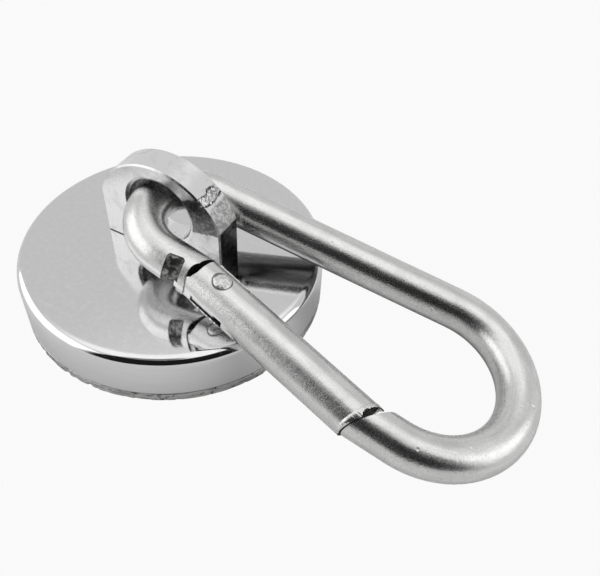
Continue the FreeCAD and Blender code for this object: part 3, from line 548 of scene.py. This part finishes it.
def smooth_by_angle(mesh, degrees):
    """Smooth faces, with creases where they meet at more than this angle."""
    shape = bmesh.new()
    shape.from_mesh(mesh)
    bmesh.ops.remove_doubles(shape, verts=shape.verts, dist=1e-7)
    limit = math.radians(degrees)
    for edge in shape.edges:
        edge.smooth = len(edge.link_faces) == 2 and edge.calc_face_angle(math.pi) < limit
    for face in shape.faces:
        face.smooth = True
    shape.to_mesh(mesh)
    shape.free()


def copy_of(node):
    mesh = nodes[node].data.copy()
    smooth_by_angle(mesh, 28.0)
    return mesh


def wire_run(mesh):
    """Stores each point's place along the wire, across it and above the hook's plane, in mm."""
    points = np.array([vertex.co for vertex in mesh.vertices])
    to_hook = np.array(hook_frame.inverted())
    local = (points @ to_hook[:3, :3].T + to_hook[:3, 3]) * 1000.0
    x, y, z = local.T
    taper = math.asin((WIDE_BEND - NARROW_BEND) / BEND_SPACING)
    back = math.pi / 2 + taper
    along = np.zeros_like(x)
    across = np.zeros_like(x)
    angle = np.arctan2(y, x)
    narrow_x = x + BEND_SPACING
    narrow_angle = np.mod(np.arctan2(y, narrow_x), 2 * math.pi)
    bar = x * math.sin(back) - y * math.cos(back)
    on_wide = (x > 0) & (angle < back) | (bar > 0) & (y > 0)
    on_narrow = (narrow_x < 0) & ~on_wide | (bar < -BEND_SPACING * math.cos(taper)) & (y > 0)
    on_bar = ~on_wide & ~on_narrow & (y > -2.0)
    gate_side = ~on_wide & ~on_narrow & ~on_bar
    straight = BEND_SPACING * math.cos(taper)
    along[on_wide] = WIDE_BEND * angle[on_wide]
    across[on_wide] = np.hypot(x, y)[on_wide] - WIDE_BEND
    along[on_bar] = WIDE_BEND * back - bar[on_bar]
    across[on_bar] = (x * math.cos(back) + y * math.sin(back))[on_bar] - WIDE_BEND
    turned = narrow_angle[on_narrow] - back
    along[on_narrow] = WIDE_BEND * back + straight + NARROW_BEND * turned
    across[on_narrow] = np.hypot(narrow_x, y)[on_narrow] - NARROW_BEND
    nose = gate_side & (x > -15.0)
    along[nose] = -WIDE_BEND * math.pi / 2 + x[nose]
    across[nose] = -y[nose] - WIDE_BEND
    heel = gate_side & ~nose
    narrow_length = NARROW_BEND * (1.5 * math.pi - back)
    along[heel] = WIDE_BEND * back + straight + narrow_length + narrow_x[heel]
    across[heel] = -y[heel] - NARROW_BEND
    store = mesh.attributes.new("run", "FLOAT_VECTOR", "POINT")
    run = np.stack([along, across, z], axis=1).astype(np.float32)
    store.data.foreach_set("vector", run.ravel())


def lathe(name, profile, segments, shake=None):
    """A turned, closed shape. profile is a loop of (radius, height) points in millimetres."""
    shape = bmesh.new()
    rings = []
    for step in range(segments):
        angle = 2 * math.pi * step / segments
        ring = []
        for radius, height in profile:
            if shake is not None:
                radius, height = shake(radius, height, angle)
            place = Vector((radius * math.cos(angle), radius * math.sin(angle), height)) * MM
            ring.append(shape.verts.new(place))
        rings.append(ring)
    count = len(profile)
    for step in range(segments):
        near, far = rings[step], rings[(step + 1) % segments]
        for index in range(count):
            following = (index + 1) % count
            shape.faces.new((near[index], far[index], far[following], near[following]))
    bmesh.ops.recalc_face_normals(shape, faces=shape.faces)
    mesh = bpy.data.meshes.new(name)
    shape.to_mesh(mesh)
    shape.free()
    return mesh


def skin(name, loops, place):
    """A closed shape through a row of loops, in millimetres in a piece's frame."""
    shape = bmesh.new()
    rings = [[shape.verts.new(place @ (Vector(point) * MM)) for point in loop] for loop in loops]
    count = len(loops[0])
    for near, far in zip(rings, rings[1:]):
        for index in range(count):
            following = (index + 1) % count
            shape.faces.new((near[index], near[following], far[following], far[index]))
    shape.faces.new(rings[0])
    shape.faces.new(rings[-1])
    bmesh.ops.recalc_face_normals(shape, faces=shape.faces)
    mesh = bpy.data.meshes.new(name)
    shape.to_mesh(mesh)
    shape.free()
    smooth_by_angle(mesh, 40.0)
    return mesh


# ---------------------------------------------------------------- pot magnet
def arc_points(centre, radius, start, end, count):
    points = []
    for step in range(count + 1):
        angle = math.radians(start + (end - start) * step / count)
        points.append((centre[0] + radius * math.cos(angle), centre[1] + radius * math.sin(angle)))
    return points


def worn_foot(radius, height, angle):
    """Small chips and dents in the lowest part of the cup's wall."""
    if radius < POT_RADIUS - 0.7 or height > WORN_TOP:
        return radius, height
    place = Vector((math.cos(angle), math.sin(angle), height * 0.06)) * 30.0
    chips = max(0.0, noise.noise(place * 0.9) - 0.12)
    dents = max(0.0, noise.noise(place * 0.33 + Vector((7.0, 3.0, 1.0))) - 0.2)
    share = min(1.0, (WORN_TOP - height) / 0.5)
    radius -= share * (0.3 * chips + 0.2 * dents)
    if height < 0.35:
        height += 0.35 * chips
    return radius, max(height, 0.0)


TOP_ROUND = 1.75
FOOT_BEVEL = 0.3
GROOVE_DEPTH = 0.2
CUP_SEGMENTS = 1080
wall_levels = (0.3, 0.7, 1.1, 1.5, 1.8, WORN_TOP)
cup_profile = [(STUD_RADIUS, CEILING), (INNER_WALL, CEILING), (INNER_WALL, 0.0)]
cup_profile += [(POT_RADIUS - inset, 0.0) for inset in (1.6, FOOT_BEVEL + 0.35, FOOT_BEVEL)]
cup_profile += [(POT_RADIUS, level) for level in wall_levels]
cup_profile += [(POT_RADIUS - GROOVE_DEPTH, 2.06), (POT_RADIUS - GROOVE_DEPTH, 2.14)]
cup_profile += [(POT_RADIUS, 2.25), (POT_RADIUS, 2.4), (POT_RADIUS, POT_TOP - 2.0)]
top_round_centre = (POT_RADIUS - TOP_ROUND, POT_TOP - TOP_ROUND)
cup_profile += arc_points(top_round_centre, TOP_ROUND, 0.0, 90.0, 12)
cup_profile += [(POT_RADIUS - 2.0, POT_TOP), (STUD_RADIUS, POT_TOP)]
cup_mesh = lathe("cup_shell", cup_profile, CUP_SEGMENTS, worn_foot)
smooth_by_angle(cup_mesh, 40.0)
new_piece("cup_shell", cup_mesh, "magnet", "pot_plating", pot_plating(), "pot_cup")

dress("eye_lug", lug_plating())
dress("magnet_ring", magnet_nickel())
resin = potting_resin()
dress("rim_resin", resin)
dress("core_resin", resin)

# ---------------------------------------------------------------- hook and gate
NOSE_FACE = math.radians(40.0)
GATE_REACH = 32.1
GATE_FACE = math.radians(15.0)
HOLLOW = 5.2
NOTCH_AT = Vector((-2.9, -1.85, 0.0))
NOTCH_RADIUS = 2.75
MARK_AT = Vector((-47.9, -9.15, 0.0))
MARK_LEAN = math.radians(12.0)
MARK_HALF_WIDTH = 1.65
MARK_RADIUS = 3.6


def faces_in(mesh, place, test):
    """Faces whose centre and direction, in millimetres in a piece's frame, pass the test."""
    to_piece = place.inverted()
    turn = to_piece.to_3x3()
    return [face for face in mesh.polygons if test(to_piece @ face.center / MM, turn @ face.normal)]


def finish_faces(mesh, material, faces):
    mesh.materials.append(material)
    for face in faces:
        face.material_index = len(mesh.materials) - 1


def on_nose_face(centre, direction):
    outwards = Vector((-math.cos(NOSE_FACE), math.sin(NOSE_FACE), 0.0))
    return centre.x < 4.0 and centre.y < -10.0 and direction.dot(outwards) > 0.999


def in_press_mark(centre, direction):
    turn = Matrix.Rotation(-MARK_LEAN, 3, "Z")
    place = turn @ (centre - MARK_AT)
    radius = math.hypot(place.y, place.z)
    if abs(place.x) > MARK_HALF_WIDTH + 0.02 or place.y > 0.5 or radius > MARK_RADIUS + 0.9:
        return False
    outwards = Vector((0.0, place.y, place.z)) / radius
    wall = abs((turn @ direction).dot(outwards)) < 0.4
    return radius < MARK_RADIUS + 0.05 or wall


def in_heel_hollow(centre, direction):
    round_rivet = abs(math.hypot(centre.x, centre.y) - HOLLOW) < 0.03
    round_notch = abs((centre - NOTCH_AT).xy.length - NOTCH_RADIUS) < 0.03
    return centre.x < 0.0 and abs(direction.z) < 0.1 and (round_rivet or round_notch)


def on_gate_end(centre, direction):
    outwards = Vector((math.cos(GATE_FACE), -math.sin(GATE_FACE), 0.0))
    return centre.x > 20.0 and direction.dot(outwards) > 0.999


def in_fork(centre, direction):
    inside_slot = abs(direction.z) > 0.999 and abs(centre.z) < 1.5 and centre.x < 4.6
    at_heel = centre.x < -2.0 and centre.y > -2.9 and math.hypot(centre.y, centre.z) < 3.9
    return inside_slot or (at_heel and direction.x < -0.9)


sheared_in_shade = shaded_sheared_steel()
press_mark_shade = shaded_press_mark()
hook_mesh = copy_of("hook_frame")
wire_run(hook_mesh)
hook_steel = drawn_steel("hook_steel")
new_piece("hook_wire", hook_mesh, "hook", "hook_steel", hook_steel, "hook_frame")
# The nose's face and the heel's hollow get the steel painted dark as shade.
finish_faces(hook_mesh, sheared_in_shade, faces_in(hook_mesh, hook_frame, on_nose_face)
             + faces_in(hook_mesh, gate_frame, in_heel_hollow))
# The press mark is painted dark as shade.
finish_faces(hook_mesh, press_mark_shade, faces_in(hook_mesh, hook_frame, in_press_mark))

gate_mesh = copy_of("gate")
gate_steel = drawn_steel("gate_steel", gate_frame)
new_piece("gate_bar", gate_mesh, "gate_assembly", "gate_steel", gate_steel, "gate")
# The gate's end and its fork's slot get the steel painted dark as shade.
finish_faces(gate_mesh, sheared_in_shade, faces_in(gate_mesh, gate_frame, on_gate_end)
             + faces_in(gate_mesh, gate_frame, in_fork))

# Burrs that the press left on the gate, in the gate's frame. The nose's slanted face starts at
# NOSE_START along the gate, and NOSE_SLOPE is how much it leans.
GATE_RADIUS = 4.05
BEAD_STEP = 0.06
BEAD_CORNERS = 6
SLOT_LOW = -1.3
GATE_SLOPE = math.tan(GATE_FACE)
NOSE_START = 33.43
NOSE_SLOPE = 0.5498


def ragged(place):
    """A value from about 0 to 1 that changes quickly along a burr."""
    coarse = noise.noise(Vector((place * 1.7, 3.1, 0.4)))
    fine = noise.noise(Vector((place * 5.3, 1.2, 7.7)))
    return min(1.0, max(0.0, 0.5 + coarse * 0.5 + fine * 0.35))


def end_burr():
    """A torn lip round the gate's end. It nearly reaches the nose on the outer side."""
    loops = []
    for step in range(211):
        turn = -12.0 + step
        around = math.radians(turn)
        n, w = -math.cos(around), math.sin(around)
        start = GATE_REACH + GATE_RADIUS * n * GATE_SLOPE
        room = NOSE_START + GATE_RADIUS * n * NOSE_SLOPE - start - 0.12
        fade = min(1.0, max(0.0, (80.0 - turn) / 12.0))
        inner = math.exp(-(((turn - 152.0) / 24.0) ** 2))
        wear = ragged(turn * 0.12)
        length = room * fade * (0.8 + 0.2 * wear) + 0.05 + 0.22 * wear * (1.0 - fade) + inner
        lift = 0.03 + 0.14 * ragged(turn * 0.09 + 40.0) * min(1.0, (turn + 12.0) / 20.0)
        lift *= 1.0 - 0.8 * inner
        back = GATE_RADIUS - 0.02
        top = GATE_RADIUS + lift
        low = GATE_RADIUS - 0.22
        tip = start + length
        section = ((start - 0.75, back), (start - 0.4, top), (start, top + 0.02),
                   (tip, GATE_RADIUS - 0.04), (start + length * 0.95, low), (start - 0.1, low))
        loops.append([(along, out * n, out * w) for along, out in section])
    return skin("end_burr", loops, gate_frame)


def bead(name, start, end, n, w, radius, wander):
    """A thin uneven bead along the gate, from start to end at n and w."""
    loops = []
    steps = int((end - start) / BEAD_STEP)
    for step in range(steps + 1):
        along = start + (end - start) * step / steps
        taper = min(1.0, 6.0 * step / steps, 6.0 * (steps - step) / steps) * 0.9 + 0.1
        size = radius * taper * (0.65 + 0.7 * ragged(along * 1.3 + n))
        shift = wander * noise.noise(Vector((along * 0.9, n, 2.0)))
        loop = []
        for corner in range(BEAD_CORNERS):
            turn = math.radians(360.0 / BEAD_CORNERS * corner)
            out, up = shift + size * math.cos(turn), shift + size * math.sin(turn)
            loop.append((along, n + out, w + up))
        loops.append(loop)
    return skin(name, loops, gate_frame)


slot_side = -math.sqrt(GATE_RADIUS ** 2 - SLOT_LOW ** 2)
new_piece("end_burr", end_burr(), "gate_assembly", "gate_steel", gate_steel)
slot_burr = bead("slot_burr", -3.1, 4.6, slot_side + 0.06, SLOT_LOW - 0.22, 0.18, 0.03)
new_piece("slot_burr", slot_burr, "gate_assembly", "gate_steel", gate_steel)
edge_burr = bead("edge_burr", -3.9, 5.2, 2.95, 2.75, 0.17, 0.2)
new_piece("edge_burr", edge_burr, "gate_assembly", "gate_steel", gate_steel)

dress("gate_rivet", rivet_steel())
dress("gate_plunger", gate_steel)

# The spring, between the plunger and the end of its bore, is copied as one fixed piece.
coil_mesh = copy_of("gate_spring")
coil = bpy.data.objects.new("gate_coil", coil_mesh)
scene.collection.objects.link(coil)
coil_mesh.materials.clear()
coil_mesh.materials.append(gate_steel)
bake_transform(coil)
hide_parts("gate_spring")


# ---------------------------------------------------------------- floor and light
# The floor isn't seen and only bounces light. It is open under the pot, for the light from below.
FLOOR_RADIUS = 3.0
BACKDROP_RADIUS = 2.95
CORNERS = 128
turns = [math.tau * step / CORNERS for step in range(CORNERS)]
corners = [Vector((math.cos(turn), math.sin(turn), 0.0)) for turn in turns]
floor_shape = bmesh.new()
inner = [floor_shape.verts.new(corner * (POT_RADIUS - 0.5) * MM) for corner in corners]
outer = [floor_shape.verts.new(corner * FLOOR_RADIUS) for corner in corners]
for step in range(CORNERS):
    following = (step + 1) % CORNERS
    floor_shape.faces.new((inner[step], outer[step], outer[following], inner[following]))
floor = bpy.data.objects.new("floor", bpy.data.meshes.new("floor"))
scene.collection.objects.link(floor)
floor_shape.to_mesh(floor.data)
floor_shape.free()
floor_paint = Paint("floor_paint", metallic=0.0)
floor_tone = floor_paint.noise(floor_paint.millimetres(), 0.004, 3.0, 0.5)
floor_tone = floor_paint.blend(floor_tone, (0.87, 0.87, 0.87), (0.9, 0.9, 0.9))
floor.data.materials.append(floor_paint.finish(floor_tone, 0.75))
floor.visible_camera = False

# The backdrop is only seen behind the object.
bpy.ops.mesh.primitive_uv_sphere_add(segments=64, ring_count=32, radius=BACKDROP_RADIUS)
backdrop = bpy.context.object
backdrop.name = "backdrop"
backdrop_paint = Paint("backdrop_paint", metallic=0.0)
backdrop_paint.bsdf.inputs["Base Color"].default_value = (0.0, 0.0, 0.0, 1.0)
backdrop_paint.bsdf.inputs["Specular IOR Level"].default_value = 0.0
backdrop_paint.bsdf.inputs["Emission Color"].default_value = (0.95, 0.95, 0.95, 1.0)
backdrop_paint.bsdf.inputs["Emission Strength"].default_value = 1.0
backdrop.data.materials.append(backdrop_paint.material)
for ray in ("diffuse", "glossy", "transmission", "volume_scatter", "shadow"):
    setattr(backdrop, f"visible_{ray}", False)


def softbox(name, azimuth, elevation, distance, width, height, radiance):
    """A soft light that faces the object. Azimuth 0 is towards +X and 90 towards +Y."""
    data = bpy.data.lights.new(name, "AREA")
    data.shape = "RECTANGLE"
    data.size = width
    data.size_y = height
    data.energy = radiance * math.pi * width * height
    light = bpy.data.objects.new(name, data)
    scene.collection.objects.link(light)
    around, up = math.radians(azimuth), math.radians(elevation)
    level = math.cos(up)
    place = Vector((math.cos(around) * level, math.sin(around) * level, math.sin(up))) * distance
    turn = (-place).to_track_quat("-Z", "Y").to_matrix().to_4x4()
    light.matrix_world = Matrix.Translation(place) @ turn
    return light


softbox("left_softbox", 211, 25, 0.9, 1.1, 0.8, 0.8)
softbox("right_softbox", 14, 26, 0.9, 0.6, 0.6, 0.8)

# The room is pale, brighter overhead, and dark on the camera's side and in a patch high above it.
world = bpy.data.worlds.new("studio")
scene.world = world
world.use_nodes = True
room = NodeTree(world.node_tree)
PALE = (0.68, 0.68, 0.683)
OVERHEAD = (1.15, 1.15, 1.15)
BLACK = (0.012, 0.012, 0.012)
DARK_AZIMUTH = math.radians(296)
DARK_SIDES = [math.cos(math.radians(angle)) for angle in (52, 44)]
DARK_TOP = [math.sin(math.radians(angle)) for angle in (62, 56)]
HOOD_AZIMUTH = math.radians(278)
HOOD_SIDES = [math.cos(math.radians(angle)) for angle in (17, 10)]
direction = room.add("ShaderNodeTexCoord").outputs["Generated"]
east, north, rise = room.split(direction)
level = room.math("SQRT", room.math("SUBTRACT", 1.0, room.math("MULTIPLY", rise, rise)))
towards = room.math("MULTIPLY", north, math.sin(DARK_AZIMUTH))
towards = room.math("MULTIPLY_ADD", east, math.cos(DARK_AZIMUTH), towards)
sector = room.ramp(room.math("DIVIDE", towards, level), *DARK_SIDES)
dark = room.math("MULTIPLY", sector, room.ramp(rise, *DARK_TOP))
hood = Vector((math.cos(HOOD_AZIMUTH) * 0.45, math.sin(HOOD_AZIMUTH) * 0.45, 0.893))
hood = room.ramp(room.dot(direction, hood), *HOOD_SIDES, 0.0, 0.8)
dark = room.math("MAXIMUM", dark, hood)
room_color = room.blend(room.ramp(rise, 0.72, 0.9), PALE, OVERHEAD)
room_color = room.blend(dark, room_color, BLACK)
room.link(room_color, world.node_tree.nodes["Background"].inputs["Color"])
